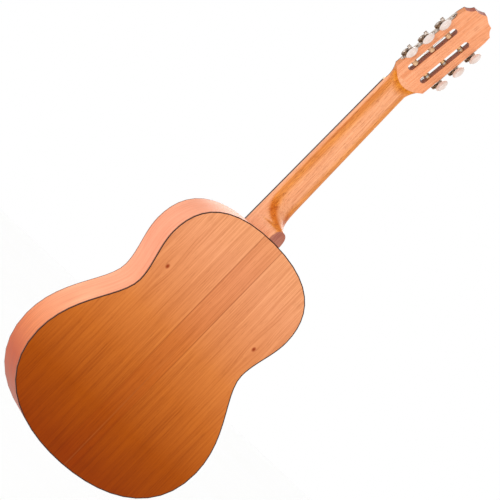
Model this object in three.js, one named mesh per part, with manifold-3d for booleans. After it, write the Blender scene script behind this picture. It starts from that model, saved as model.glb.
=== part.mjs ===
// A full-size classical guitar, hanging upright from a fork under the shoulders of its head.
//
// +X is the treble side, +Y points out of the back, and +Z runs up the neck. Lengths are in millimetres.
// Sizes are given in the instrument's own frame: y = 0 is the face of the soundboard and z = 0 the tail end.
// The finished group is moved so that its origin is the middle of the hanger's fork.
import * as THREE from "three";
import { mergeVertices } from "three/addons/utils/BufferGeometryUtils.js";
import Module from "manifold-3d";

const wasm = await Module();
wasm.setup();

// ---------------------------------------------------------------------------------------------- driving sizes
const GLUE_LINE = 0.1; // gap kept between glued faces

const scaleLength = 650;
const bodyLength = 492;
const bodyDepth = 95.5;
const nutZ = bodyLength + scaleLength / 2; // the twelfth fret sits over the body joint

// Widest and narrowest points of the body: half width and height above the tail.
const lowerBout = new THREE.Vector2(186.8, 133.6);
const waist = new THREE.Vector2(123.1, 300.9);
const upperBout = new THREE.Vector2(139.5, 391.5);
const outlineSteps = 11; // straight facets in each of the four curves of one side

const plateThickness = 2.6;
const ribThickness = 2.1;
const bindingWidth = 1.6;
const bindingHeight = 3;
const liningWidth = 6;
const liningHeight = 13;

const soundhole = { z: 338, radius: 43, sides: 48 };
const rosette = { inner: 47, outer: 60, depth: 0.9 };

const nutHalfWidth = 24;
const jointHalfWidth = 27;
const boardThickness = 6;
const boardEndZ = soundhole.z + soundhole.radius + 0.5;
const fretCount = 19;
const fretHeight = 1.1;
const nut = { length: 5, height: 7.3 };

const headTilt = THREE.MathUtils.degToRad(17);
const headThickness = 18;
const veneerThickness = 2;
const headHalfWidth = 34;
const shoulder = 29; // distance of the head's lower corners from the nut
const crown = { corner: 172.5, lobe: 184.3, top: 191.2 };
const slot = { x: 15.8, halfWidth: 5.6, from: 39, to: 140.5 };

const rollerDepth = 10; // roller axis behind the front face of the head
const rollerAt = [53, 88, 123]; // along the head, from the nut
const gearTeeth = 14;
const gearPitchRadius = 7.1;
const wormPitchRadius = 2.9;
const wormPitch = (2 * Math.PI * gearPitchRadius) / gearTeeth;
const wormOffset = gearPitchRadius + wormPitchRadius; // from roller axis to worm axis, along the head
const gearMidX = 39.7;

const stringRadii = [0.36, 0.42, 0.52, 0.38, 0.46, 0.56]; // first (treble) to sixth (bass)
const stringSpacing = { nut: 7.8, saddle: 11.6 };
const saddle = { z: nutZ - scaleLength - 1.5, top: -12.1, halfLength: 39, thickness: 2.6 };

// -------------------------------------------------------------------------------------------------- materials
const finish = (color, roughness, metalness = 0) =>
  new THREE.MeshStandardMaterial({ color, roughness, metalness });
const cedarBack = finish(0xb4662c, 0.45);
const paleRib = finish(0xeeb08c, 0.5);
const spruce = finish(0xe8c78f, 0.5);
const neckWood = finish(0xe0935a, 0.4);
const rosewood = finish(0x5a3028, 0.5);
const blackBinding = finish(0x2c1c18, 0.5);
const bone = finish(0xefe4c8, 0.4);
const nickel = finish(0xc8c2b8, 0.25, 1);
const brass = finish(0xc9a35a, 0.3, 1);
const rollerPlastic = finish(0xf0d6a0, 0.4);
const pearl = finish(0xf4e6e2, 0.2);
const nylon = finish(0xf2eee6, 0.2);
const silverWound = finish(0xb9b2a6, 0.35, 1);

// ---------------------------------------------------------------------------------------------- solid helpers
function solid(geometry) {
  const bare = geometry.clone();
  bare.deleteAttribute("normal");
  bare.deleteAttribute("uv");
  const merged = mergeVertices(bare, 1e-4);
  return new wasm.Manifold(
    new wasm.Mesh({
      numProp: 3,
      vertProperties: new Float32Array(merged.attributes.position.array),
      triVerts: new Uint32Array(merged.index.array),
    }),
  );
}

function geometryOf(manifold) {
  const mesh = manifold.getMesh();
  return new THREE.BufferGeometry()
    .setAttribute("position", new THREE.BufferAttribute(mesh.vertProperties, 3))
    .setIndex(new THREE.BufferAttribute(mesh.triVerts, 1))
    .toNonIndexed();
}

function cut(geometry, ...tools) {
  return geometryOf(tools.reduce((left, tool) => left.subtract(solid(tool)), solid(geometry)));
}

function join(geometry, ...others) {
  return geometryOf(others.reduce((sum, other) => sum.add(solid(other)), solid(geometry)));
}

function keep(geometry, tool) {
  return geometryOf(solid(geometry).intersect(solid(tool)));
}

// A box from its lowest to its highest corner.
function box(x0, y0, z0, x1, y1, z1) {
  return new THREE.BoxGeometry(x1 - x0, y1 - y0, z1 - z0).translate(
    (x0 + x1) / 2,
    (y0 + y1) / 2,
    (z0 + z1) / 2,
  );
}

// A rod along the x axis, from x0 to x1, through (y, z).
function rodX(radius, x0, x1, y, z, sides = 16) {
  return new THREE.CylinderGeometry(radius, radius, x1 - x0, sides)
    .rotateZ(Math.PI / 2)
    .translate((x0 + x1) / 2, y, z);
}

// A rod along the y axis, from y0 to y1, through (x, z).
function rodY(radius, y0, y1, x, z, sides = 12) {
  return new THREE.CylinderGeometry(radius, radius, y1 - y0, sides).translate(x, (y0 + y1) / 2, z);
}

// A plate whose shape lies in the xz plane and whose thickness runs from y0 to y1.
function slab(shape, y0, y1, curveSegments = 8) {
  return new THREE.ExtrudeGeometry(shape, { depth: y1 - y0, bevelEnabled: false, curveSegments })
    .rotateX(Math.PI / 2)
    .translate(0, y1, 0);
}

// A bar along the x axis whose section is drawn in the (z, y) plane.
function profileX(section, x0, x1, curveSegments = 5) {
  return new THREE.ExtrudeGeometry(section, { depth: x1 - x0, bevelEnabled: false, curveSegments })
    .rotateY(-Math.PI / 2)
    .translate(x1, 0, 0);
}

// A closed body through rings of the same number of points, each counter-clockwise seen from the last ring.
function loft(rings) {
  const sides = rings[0].length;
  const corners = rings.flat();
  const faces = [];
  for (let i = 0; i + 1 < rings.length; i++) {
    for (let j = 0; j < sides; j++) {
      const a = i * sides + j;
      const b = i * sides + ((j + 1) % sides);
      faces.push(a, b, b + sides, a, b + sides, a + sides);
    }
  }
  const middleOf = (ring) =>
    ring.reduce((sum, p) => sum.add(p), new THREE.Vector3()).divideScalar(ring.length);
  const first = corners.push(middleOf(rings[0])) - 1;
  const last = corners.push(middleOf(rings.at(-1))) - 1;
  const lastRing = (rings.length - 1) * sides;
  for (let j = 0; j < sides; j++) {
    const next = (j + 1) % sides;
    faces.push(first, next, j, last, lastRing + j, lastRing + next);
  }
  return new THREE.BufferGeometry().setFromPoints(corners).setIndex(faces).toNonIndexed();
}

// A round bar through points in the order given, mitred at its bends.
function bar(points, radius, sides = 6) {
  return loft(
    points.map((point, i) => {
      const along = points[Math.min(i + 1, points.length - 1)]
        .clone()
        .sub(points[Math.max(i - 1, 0)])
        .normalize();
      const across = new THREE.Vector3(1, 0, 0).projectOnPlane(along).normalize();
      const up = along.clone().cross(across);
      return Array.from({ length: sides }, (_, k) => {
        const turn = (2 * Math.PI * k) / sides;
        return point
          .clone()
          .addScaledVector(across, radius * Math.cos(turn))
          .addScaledVector(up, radius * Math.sin(turn));
      });
    }),
  );
}

// ------------------------------------------------------------------------------------------- the group's parts
const guitar = new THREE.Group();
const head = new THREE.Group(); // local y is depth behind the front face, local z runs towards the crown
head.position.z = nutZ + nut.length;
head.rotation.x = -headTilt;
guitar.add(head);
const sides = { treble: new THREE.Group(), bass: new THREE.Group() };
sides.bass.scale.x = -1; // the bass side's machine head is the treble one's mirror image
head.add(sides.treble, sides.bass);

function part(name, geometry, material, parent = guitar) {
  const mesh = new THREE.Mesh(geometry, material);
  mesh.name = name;
  parent.add(mesh);
  return mesh;
}

function mirrored(name, geometry, material) {
  part(name, geometry, material).scale.x = -1;
}

// --------------------------------------------------------------------------------------------- the body's outline
// One side of the body from the middle of the tail to the middle of the neck end: four Bezier curves whose
// handles are level at the ends and upright at the widest and narrowest points.
const trebleSide = [
  [new THREE.Vector2(0, 0), new THREE.Vector2(99, 0), new THREE.Vector2(lowerBout.x, 38), lowerBout],
  [lowerBout, new THREE.Vector2(lowerBout.x, 211), new THREE.Vector2(waist.x, 261), waist],
  [waist, new THREE.Vector2(waist.x, 331), new THREE.Vector2(upperBout.x, 360), upperBout],
  [
    upperBout,
    new THREE.Vector2(upperBout.x, 443),
    new THREE.Vector2(110, bodyLength),
    new THREE.Vector2(0, bodyLength),
  ],
].map((points) => new THREE.CubicBezierCurve(...points));

// Points of that side, moved into the body by inset.
function sidePoints(inset) {
  const points = [];
  for (const curve of trebleSide) {
    const last = curve === trebleSide.at(-1);
    for (let i = 0; i < outlineSteps + (last ? 1 : 0); i++) {
      const t = i / outlineSteps;
      const along = curve.getTangent(t);
      points.push(curve.getPoint(t).add(new THREE.Vector2(-along.y, along.x).multiplyScalar(inset)));
    }
  }
  return points;
}

function bodyOutline(inset) {
  const treble = sidePoints(inset);
  const bass = treble.slice(1, -1).map((p) => new THREE.Vector2(-p.x, p.y));
  return new THREE.Shape([...treble, ...bass.reverse()]);
}

// The treble half of a band that follows the outline, between two insets.
function sideBand(outer, inner) {
  return new THREE.Shape([...sidePoints(outer), ...sidePoints(inner).reverse()]);
}

function circleHole(radius, z, sideCount) {
  return new THREE.Path(
    Array.from({ length: sideCount }, (_, i) => {
      const turn = (-2 * Math.PI * i) / sideCount;
      return new THREE.Vector2(radius * Math.cos(turn), z + radius * Math.sin(turn));
    }),
  );
}

// ----------------------------------------------------------------------------------------- soundboard and back
const plateInset = bindingWidth + GLUE_LINE;
const boardShape = bodyOutline(plateInset);
boardShape.holes.push(circleHole(soundhole.radius, soundhole.z, soundhole.sides));
const rosetteRing = (clearance) => {
  const ring = new THREE.Shape(
    circleHole(rosette.outer + clearance, soundhole.z, soundhole.sides).getPoints().reverse(),
  );
  ring.holes.push(circleHole(rosette.inner - clearance, soundhole.z, soundhole.sides));
  return ring;
};
const channel = slab(rosetteRing(GLUE_LINE), -1, rosette.depth + GLUE_LINE);
part("soundboard", cut(slab(boardShape, 0, plateThickness), channel), spruce);
part("rosette", slab(rosetteRing(0), 0, rosette.depth), rosewood);
part("back", slab(bodyOutline(plateInset), bodyDepth - plateThickness, bodyDepth), cedarBack);

const bindingRing = bodyOutline(0);
bindingRing.holes.push(new THREE.Path(bodyOutline(bindingWidth).getPoints().reverse()));
part("top_binding", slab(bindingRing, 0, bindingHeight), blackBinding);
part("back_binding", slab(bindingRing, bodyDepth - bindingHeight, bodyDepth), blackBinding);

// ------------------------------------------------------------------------------------- ribs, linings and blocks
const ribGap = bindingHeight + GLUE_LINE;
const neckWeb = 7; // half width of the tongue of the neck that passes between the rib ends
const ribEnds = [
  box(-5, 0, -5, GLUE_LINE, bodyDepth, 20),
  box(-5, 0, bodyLength - 20, neckWeb + GLUE_LINE, bodyDepth, bodyLength + 5),
];
const rib = cut(slab(sideBand(0, ribThickness), ribGap, bodyDepth - ribGap), ...ribEnds);
part("rib_treble", rib, paleRib);
mirrored("rib_bass", rib, paleRib);

const tailBlockHalfWidth = 34;
const tailBlockDepth = 16;
const neckBlockHalfWidth = 30;
const neckBlockDepth = 26;
const underBoard = plateThickness + GLUE_LINE;
const overBack = bodyDepth - underBoard;
const neckBlockRoom = box(
  -neckBlockHalfWidth - 0.4,
  0,
  bodyLength - 40,
  neckBlockHalfWidth + 0.4,
  bodyDepth,
  bodyLength + 5,
);
const liningInset = ribThickness + GLUE_LINE;
const liningRing = bodyOutline(liningInset);
liningRing.holes.push(
  new THREE.Path(
    bodyOutline(liningInset + liningWidth)
      .getPoints()
      .reverse(),
  ),
);
part("top_lining", cut(slab(liningRing, underBoard, underBoard + liningHeight), neckBlockRoom), spruce);
part("back_lining", cut(slab(liningRing, overBack - liningHeight, overBack), neckBlockRoom), spruce);

const insideRibs = slab(bodyOutline(liningInset), underBoard, overBack);
const blockFront = underBoard + liningHeight + GLUE_LINE;
const blockBack = overBack - liningHeight - GLUE_LINE;
part(
  "tail_block",
  keep(box(-tailBlockHalfWidth, blockFront, 0, tailBlockHalfWidth, blockBack, tailBlockDepth), insideRibs),
  spruce,
);

// ------------------------------------------------------------------------------------------------------- braces
const insideLinings = slab(bodyOutline(liningInset + liningWidth + 0.4), 0, bodyDepth);
const crossBrace = (z, thickness, y0, y1) =>
  keep(box(-200, y0, z - thickness / 2, 200, y1, z + thickness / 2), insideLinings);
part("upper_harmonic_bar", crossBrace(404, 6, underBoard, underBoard + 15), spruce);
part("lower_harmonic_bar", crossBrace(284, 6, underBoard, underBoard + 15), spruce);

const fanSpacing = 34;
const fanSplay = THREE.MathUtils.degToRad(4);
for (let i = -2; i <= 2; i++) {
  const length = 215 - 22 * Math.abs(i);
  const strut = new THREE.BoxGeometry(6, 4, length)
    .translate(0, underBoard + 2, -length / 2)
    .rotateY(-fanSplay * i)
    .translate(fanSpacing * i * 0.7, 0, 278);
  part(`fan_brace_${i + 3}`, strut, spruce);
}
[420, 280, 120].forEach((z, i) => {
  part(`back_brace_${i + 1}`, crossBrace(z, 8, overBack - 14, overBack), spruce);
});

// --------------------------------------------------------------------------------------------- neck, heel, head
const boardHalfWidth = (z) =>
  nutHalfWidth + ((jointHalfWidth - nutHalfWidth) * (nutZ - z)) / (nutZ - bodyLength);
const heelCap = { halfWidth: 11.5, reach: 22, thickness: 2.6 };
const heelFace = bodyDepth - heelCap.thickness - GLUE_LINE;
const scoopLength = 78; // from the heel's tip to the plain neck
const neckThickness = { heel: 19.6, nut: 17 };
const ringSteps = 9; // facets in each half of a section

// One section of the neck: flat in front, with a flat of half width flat at its back, and rounded between
// by a superellipse of the given fullness. place carries it from the section's plane to the instrument.
function neckRing({ halfWidth, thickness, flat, fullness, side = 2 }, place) {
  const half = [];
  for (let i = 0; i <= ringSteps; i++) {
    const turn = (Math.PI / 2) * (i / ringSteps);
    const x = flat + (halfWidth - flat) * Math.cos(turn) ** (2 / fullness);
    const y = side + (thickness - side) * Math.sin(turn) ** (2 / fullness);
    half.push(new THREE.Vector3(x, y, 0));
  }
  half.unshift(new THREE.Vector3(halfWidth, 0, 0));
  const other = half.map((p) => new THREE.Vector3(-p.x, p.y, 0)).reverse();
  return [...half, ...other].map((p) => p.applyMatrix4(place));
}

function neckSection(z) {
  const above = z - bodyLength - heelCap.reach;
  const along = THREE.MathUtils.clamp(above / scoopLength, 0, 1);
  const plain = THREE.MathUtils.mapLinear(z, bodyLength, nutZ, neckThickness.heel, neckThickness.nut);
  const capShare = THREE.MathUtils.clamp(-above / heelCap.reach, 0, 1);
  return {
    halfWidth: boardHalfWidth(z),
    thickness: plain + (heelFace - plain) * (1 - along) ** 5,
    flat: Math.max(0.4, heelCap.halfWidth * Math.sqrt(1 - (1 - capShare) ** 3)),
    fullness: 1.2 + 1.1 * (1 - (1 - along) ** 3),
  };
}

// Between the nut and the head's shoulders the round neck widens and flattens into the head.
function headSection(s) {
  const share = s / shoulder;
  return {
    halfWidth: nutHalfWidth + (headHalfWidth - nutHalfWidth) * share ** 2.2 - 0.3 * share,
    thickness: neckThickness.nut + 0.4 + 0.5 * Math.min(1, share * 2.3),
    flat: 0.4 + 24 * share ** 1.5,
    fullness: 2.3 + 2.2 * share,
  };
}

const heightsOfRings = [0, 8, 14, 18, 20.5, 22, 24, 27, 31, 36, 43, 52, 64, 80, 100, 180, 260, 305].map(
  (above) => bodyLength + above,
);
const upright = (z) => new THREE.Matrix4().makeTranslation(0, 0, z);
const tilted = (s, share) =>
  new THREE.Matrix4()
    .makeTranslation(0, s * Math.sin(headTilt), nutZ + nut.length + s * Math.cos(headTilt))
    .multiply(new THREE.Matrix4().makeRotationX(-headTilt * share));
const rings = [
  ...heightsOfRings.map((z) => neckRing(neckSection(z), upright(z))),
  neckRing(headSection(0), tilted(0, 0.5)),
  ...[6, 11, 16, 20, 24, shoulder].map((s) => neckRing(headSection(s), tilted(s, 1))),
];
const heelBottom = rings[0].map((p) => p.clone().setZ(bodyLength - 8));
const neckShaft = loft([heelBottom, ...rings]);

// The head's outline in its own plane, with a scalloped crown and two long slots.
const crownSide = [
  [32, crown.corner],
  [23.2, 176.6],
  [20.3, crown.lobe],
  [11.8, crown.lobe + 1.3],
  [2.7, 189.8],
  [1.4, crown.top],
];
// At the nut end, its back meets the round neck along an arc.
const headArc = 12.5;
const plateEnd = [40, 159]; // ends of the machine plates, along the head
const headShape = new THREE.Shape();
headShape.moveTo(-headHalfWidth, shoulder);
headShape.quadraticCurveTo(0, 2 * headArc - shoulder, headHalfWidth, shoulder);
headShape.lineTo(headHalfWidth, plateEnd[1] + 1); // straight as far as the machine plates reach
headShape.lineTo(...crownSide[0]);
headShape.quadraticCurveTo(...crownSide[1], ...crownSide[2]);
headShape.lineTo(...crownSide[3]);
headShape.quadraticCurveTo(...crownSide[4], ...crownSide[5]);
headShape.lineTo(-crownSide[5][0], crownSide[5][1]);
headShape.quadraticCurveTo(-crownSide[4][0], crownSide[4][1], -crownSide[3][0], crownSide[3][1]);
headShape.lineTo(-crownSide[2][0], crownSide[2][1]);
headShape.quadraticCurveTo(-crownSide[1][0], crownSide[1][1], -crownSide[0][0], crownSide[0][1]);
headShape.lineTo(-headHalfWidth, plateEnd[1] + 1);

const slotCuts = [];
for (const side of [1, -1]) {
  const path = new THREE.Shape();
  const r = slot.halfWidth;
  path.absarc(side * slot.x, slot.from + r, r, Math.PI, 2 * Math.PI);
  path.absarc(side * slot.x, slot.to - r, r, 0, Math.PI);
  slotCuts.push(slab(path, -1, headThickness + 1, 10));
  // The ramp that lets the strings dive from the nut into the slot.
  slotCuts.push(
    new THREE.BoxGeometry(2 * r - 1, 8, 30)
      .translate(0, -4, 15)
      .rotateX(-0.2)
      .translate(side * slot.x, 0, 20),
  );
  for (const s of rollerAt) {
    const [near, far] = [headHalfWidth + 1, slot.x].map((x) => side * x).sort((a, b) => a - b);
    slotCuts.push(rodX(5.15, near, far, rollerDepth, s, 20));
    const [inner, outer] = [3.5, slot.x].map((x) => side * x).sort((a, b) => a - b);
    slotCuts.push(rodX(4.12, inner, outer, rollerDepth, s));
  }
}
const headPlate = cut(slab(headShape, 0, headThickness, 6), ...slotCuts).applyMatrix4(tilted(0, 1));

const webAndBlock = join(
  box(-neckWeb, ribGap, bodyLength - 10, neckWeb, heelFace - 6, bodyLength + 4),
  keep(
    box(-neckBlockHalfWidth, 0, bodyLength - neckBlockDepth, neckBlockHalfWidth, bodyDepth, bodyLength),
    insideRibs,
  ),
);
const outsideOfBody = slab(bodyOutline(-GLUE_LINE), -1, bodyDepth + 1);
const veneerStart = 0.5;
const veneerRoom = box(-50, -20, veneerStart - GLUE_LINE, 50, veneerThickness + GLUE_LINE, 200)
  .applyMatrix4(tilted(0, 1));
const rampCuts = slotCuts.map((tool) => tool.clone().applyMatrix4(tilted(0, 1)));
part(
  "neck",
  join(cut(cut(neckShaft, outsideOfBody), veneerRoom, ...rampCuts), webAndBlock, cut(headPlate, veneerRoom)),
  neckWood,
);

// The dark facing on the front of the head: the head's own outline, carried down to the nut.
const nutEnd = new THREE.Shape(
  [1, -1].flatMap((side) => {
    const edge = [veneerStart, 5, 10, 14, 18, 22, 25.5, shoulder].map(
      (s) => new THREE.Vector2(side * headSection(s).halfWidth, s),
    );
    return side > 0 ? edge : edge.reverse();
  }),
);
const veneer = join(slab(headShape, 0, veneerThickness, 6), slab(nutEnd, 0, veneerThickness));
part("head_veneer", cut(veneer, ...slotCuts), rosewood, head);

const capShape = new THREE.Shape();
capShape.moveTo(-heelCap.halfWidth, bodyLength);
capShape.lineTo(heelCap.halfWidth, bodyLength);
const capTop = bodyLength + heelCap.reach;
capShape.bezierCurveTo(heelCap.halfWidth, capTop - 6, 7, capTop, 0, capTop);
capShape.bezierCurveTo(-7, capTop, -heelCap.halfWidth, capTop - 6, -heelCap.halfWidth, bodyLength);
part(
  "heel_cap",
  cut(slab(capShape, bodyDepth - heelCap.thickness, bodyDepth), outsideOfBody),
  rosewood,
);

// ------------------------------------------------------------------------------------- fingerboard, frets, nut
const board = slab(
  new THREE.Shape([
    new THREE.Vector2(-boardHalfWidth(boardEndZ), boardEndZ),
    new THREE.Vector2(boardHalfWidth(boardEndZ), boardEndZ),
    new THREE.Vector2(nutHalfWidth, nutZ - GLUE_LINE),
    new THREE.Vector2(-nutHalfWidth, nutZ - GLUE_LINE),
  ]),
  -boardThickness,
  -GLUE_LINE,
);
const fretZ = (n) => nutZ - scaleLength * (1 - 2 ** (-n / 12));
const fretCrowns = Array.from({ length: fretCount }, (_, i) => {
  const z = fretZ(i + 1);
  const halfLength = boardHalfWidth(z) - 0.6;
  const crownSection = new THREE.Shape([
    new THREE.Vector2(-1.1, 0.5),
    new THREE.Vector2(-1.1, -0.3),
    new THREE.Vector2(-0.5, -fretHeight),
    new THREE.Vector2(0.5, -fretHeight),
    new THREE.Vector2(1.1, -0.3),
    new THREE.Vector2(1.1, 0.5),
  ]);
  return profileX(crownSection, -halfLength, halfLength).translate(0, -boardThickness, z);
});
part("fingerboard", join(board, ...fretCrowns), rosewood);
part("nut", box(-nutHalfWidth, -nut.height, nutZ, nutHalfWidth, -GLUE_LINE, nutZ + nut.length), bone);

// ------------------------------------------------------------------------------------------- bridge and saddle
const stringX = (number, spacing) => (3.5 - number) * spacing;
const tieBlock = { z0: saddle.z - 16, z1: saddle.z - 7, holeDepth: 5.2, holeRadius: 1.1 };
const bridgeSection = new THREE.Shape([
  new THREE.Vector2(tieBlock.z0, 0),
  new THREE.Vector2(saddle.z + 12, 0),
  new THREE.Vector2(saddle.z + 12, -4.5),
  new THREE.Vector2(saddle.z + 6, -8.5),
  new THREE.Vector2(saddle.z - 2.6, -8.5),
  new THREE.Vector2(saddle.z - 2.6, -4),
  new THREE.Vector2(tieBlock.z1, -4),
  new THREE.Vector2(tieBlock.z1, -9),
  new THREE.Vector2(tieBlock.z0, -9),
]);
const bridgeHalfLength = 93;
const bridgeBlockHalfLength = 41;
const bridgeMiddle = profileX(bridgeSection, -bridgeBlockHalfLength, bridgeBlockHalfLength);
const bridgeWings = box(-bridgeHalfLength, -4, tieBlock.z0, bridgeHalfLength, 0, saddle.z + 12);
const bridgeCuts = [1, 2, 3, 4, 5, 6].map((n) =>
  new THREE.CylinderGeometry(tieBlock.holeRadius, tieBlock.holeRadius, 14, 8)
    .rotateX(Math.PI / 2)
    .translate(stringX(n, stringSpacing.saddle), -tieBlock.holeDepth, tieBlock.z0 + 4),
);
const saddleFoot = -4.5;
const saddleSlot = box(
  -saddle.halfLength - 0.2,
  -20,
  saddle.z - saddle.thickness / 2 - GLUE_LINE,
  saddle.halfLength + 0.2,
  saddleFoot,
  saddle.z + saddle.thickness / 2 + GLUE_LINE,
);
part(
  "bridge",
  cut(join(bridgeMiddle, bridgeWings), saddleSlot, ...bridgeCuts).translate(0, -GLUE_LINE, 0),
  rosewood,
);
part(
  "saddle",
  box(
    -saddle.halfLength,
    saddle.top,
    saddle.z - saddle.thickness / 2,
    saddle.halfLength,
    saddleFoot - 2 * GLUE_LINE,
    saddle.z + saddle.thickness / 2,
  ),
  bone,
);

// ---------------------------------------------------------------------------------------------- machine heads
// Everything here is in the head's own frame, on the treble side; the bass side mirrors it.
const plateFace = headHalfWidth + GLUE_LINE; // inner face of the metal plate
const plateOuter = plateFace + 1.2;
const plateEdge = [2.2, 17]; // its long edges, behind the front face of the head
const lugThickness = 1.4;
const lugTip = 43.4;
const axleRadius = 2.3;
const wormShaftRadius = 1.5;
const button = { from: 21.5, to: 37.5, halfLength: 12, halfThickness: 4.8 };

function machinePlate() {
  const [y0, y1] = plateEdge;
  const [z0, z1] = plateEnd;
  const middle = (y0 + y1) / 2;
  const outline = new THREE.Shape();
  outline.absarc(z0 + 5, middle, 5, Math.PI / 2, 1.5 * Math.PI);
  outline.lineTo(z0 + 9, y0);
  outline.lineTo(z1 - 9, y0);
  outline.quadraticCurveTo(z1 - 3, y0 + 1, z1, middle);
  outline.quadraticCurveTo(z1 - 3, y1 - 1, z1 - 9, y1);
  outline.lineTo(z0 + 9, y1);
  const lugs = rollerAt.flatMap((s) =>
    [y0, y1 - lugThickness].map((y) =>
      box(plateOuter - 0.5, y, s + wormOffset - 3, lugTip, y + lugThickness, s + wormOffset + 3),
    ),
  );
  const bores = rollerAt.flatMap((s) => [
    rodX(axleRadius + 0.1, plateFace - 1, plateOuter + 1, rollerDepth, s),
    rodY(wormShaftRadius + 0.1, y0 - 1, y1 + 1, gearMidX, s + wormOffset),
  ]);
  return cut(join(profileX(outline, plateFace, plateOuter), ...lugs), ...bores);
}

// A string barrel: a thick sleeve across the slot, a journal in the middle wood, and a thin axle for the gear.
function roller(s) {
  const sleeve = rodX(5, slot.x - slot.halfWidth + 0.3, headHalfWidth - 0.3, rollerDepth, s, 20);
  const journal = rodX(4, 3.9, slot.x, rollerDepth, s);
  const axle = rodX(axleRadius, 30, gearMidX + 3, rollerDepth, s);
  return join(sleeve, journal, axle);
}

// The worm's thread at the gear runs at this slope, and the gear's teeth are skewed to match it.
const threadSlope = wormPitch / (2 * Math.PI * wormPitchRadius);

function gear(s) {
  const tooth = (2 * Math.PI) / gearTeeth;
  const corners = [
    [-0.29, gearPitchRadius - 1.1],
    [-0.1, gearPitchRadius + 0.7],
    [0.1, gearPitchRadius + 0.7],
    [0.29, gearPitchRadius - 1.1],
  ];
  const ring = (u) =>
    Array.from({ length: gearTeeth }, (_, i) => i).flatMap((i) =>
      corners.map(([share, r]) => {
        const turn = Math.PI / 2 + (i + 0.5 + share) * tooth + (u * threadSlope) / gearPitchRadius;
        return new THREE.Vector3(gearMidX + u, rollerDepth + r * Math.cos(turn), s + r * Math.sin(turn));
      }),
    );
  const bore = rodX(axleRadius + 0.1, gearMidX - 5, gearMidX + 5, rollerDepth, s);
  return cut(loft([ring(-2.3), ring(2.3)]), bore);
}

function wormShaft(s) {
  const z = s + wormOffset;
  const [threadFrom, threadTo] = [4.6, 15];
  const count = 20;
  const round = 12;
  const thread = [];
  for (let i = 0; i <= count; i++) {
    const y = threadFrom + ((threadTo - threadFrom) * i) / count;
    thread.push(
      Array.from({ length: round }, (_, j) => {
        const turn = (2 * Math.PI * j) / round;
        const phase = (y - rollerDepth) / wormPitch - (turn - Math.PI) / (2 * Math.PI);
        const fromCrest = Math.abs(phase - Math.round(phase)); // 0 on the crest, 0.5 in the groove
        const rise = THREE.MathUtils.clamp((0.3 - fromCrest) / 0.2, 0, 1);
        const r = wormPitchRadius - 0.95 + 1.65 * rise;
        return new THREE.Vector3(gearMidX + r * Math.sin(turn), y, z + r * Math.cos(turn));
      }),
    );
  }
  const rod = rodY(wormShaftRadius, plateEdge[0] - 0.6, button.from + 8, gearMidX, z);
  const collar = rodY(2.6, plateEdge[1] + 0.3, button.from - 0.3, gearMidX, z, 16);
  return join(loft(thread), rod, collar);
}

// A flat oval knob whose section narrows towards both ends of the worm's axis.
function knob(s) {
  const z = s + wormOffset;
  const rings = [
    [0, 0.34],
    [0.06, 0.6],
    [0.2, 0.86],
    [0.42, 1],
    [0.66, 0.97],
    [0.86, 0.78],
    [0.96, 0.52],
    [1, 0.3],
  ].map(([along, size]) =>
    Array.from({ length: 20 }, (_, i) => {
      const turn = (2 * Math.PI * i) / 20;
      return new THREE.Vector3(
        gearMidX + button.halfThickness * Math.sqrt(size) * Math.sin(turn),
        THREE.MathUtils.lerp(button.from, button.to, along),
        z + button.halfLength * size * Math.cos(turn),
      );
    }),
  );
  return cut(loft(rings), rodY(wormShaftRadius + 0.1, 0, button.from + 8.2, gearMidX, z));
}

// Strings are numbered from the first, on the treble side, to the sixth. The outer strings take the rollers
// nearest the nut, and the inner ones those nearest the crown.
for (const [side, group] of Object.entries(sides)) {
  part(`machine_plate_${side}`, machinePlate(), nickel, group);
  rollerAt.forEach((s, i) => {
    const number = side === "treble" ? i + 1 : 6 - i;
    part(`roller_${number}`, roller(s), side === "treble" ? rollerPlastic : brass, group);
    part(`gear_${number}`, gear(s), brass, group);
    part(`worm_${number}`, wormShaft(s), nickel, group);
    part(`button_${number}`, knob(s), pearl, group);
  });
}

// ----------------------------------------------------------------------------------------------------- strings
guitar.updateMatrixWorld(true);
const stringEndX = [18, 16, 15.6];
const stringGap = 0.2;
for (let number = 1; number <= 6; number++) {
  const radius = stringRadii[number - 1];
  const rank = Math.min(number, 7 - number) - 1; // 0 for the outer strings, 2 for the inner ones
  const nutX = stringX(number, stringSpacing.nut);
  const saddleX = stringX(number, stringSpacing.saddle);
  const overNut = -nut.height - radius - stringGap;
  const s = rollerAt[rank] - 1;
  const end = new THREE.Vector3(
    Math.sign(nutX) * stringEndX[rank],
    rollerDepth - 5 - radius - 2 * stringGap,
    s,
  );
  const points = [
    new THREE.Vector3(saddleX, -tieBlock.holeDepth - GLUE_LINE, tieBlock.z0 + 1),
    new THREE.Vector3(saddleX, -tieBlock.holeDepth - GLUE_LINE, tieBlock.z1 + 1),
    new THREE.Vector3(saddleX, saddle.top - radius - stringGap, saddle.z - 1.9),
    new THREE.Vector3(saddleX, saddle.top - radius - stringGap, saddle.z + 1.9),
    new THREE.Vector3(nutX, overNut, nutZ),
    new THREE.Vector3(nutX, overNut, nutZ + nut.length),
    head.localToWorld(end),
  ];
  part(`string_${number}`, bar(points, radius), number < 4 ? nylon : silverWound);
}

// ----------------------------------------------------------------------------------------------------- origin
// The fork's arms pass under the shoulders, half way through the head's thickness.
const hanger = new THREE.Vector3(0, 14.5, 838.5);
guitar.position.copy(hanger).negate();

export default guitar;
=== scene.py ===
"""A full-size classical guitar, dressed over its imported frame.

The sections follow the instrument as it is put together: the room, the body, the neck, the strings'
supports, the machine heads and the strings. Lengths inside a section are in millimetres of the instrument
itself: x from the centre line towards the treble side, y behind the face of the soundboard, z above the tail.
"""

import math

import bmesh
import bpy
from mathutils import Matrix, Vector


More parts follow.
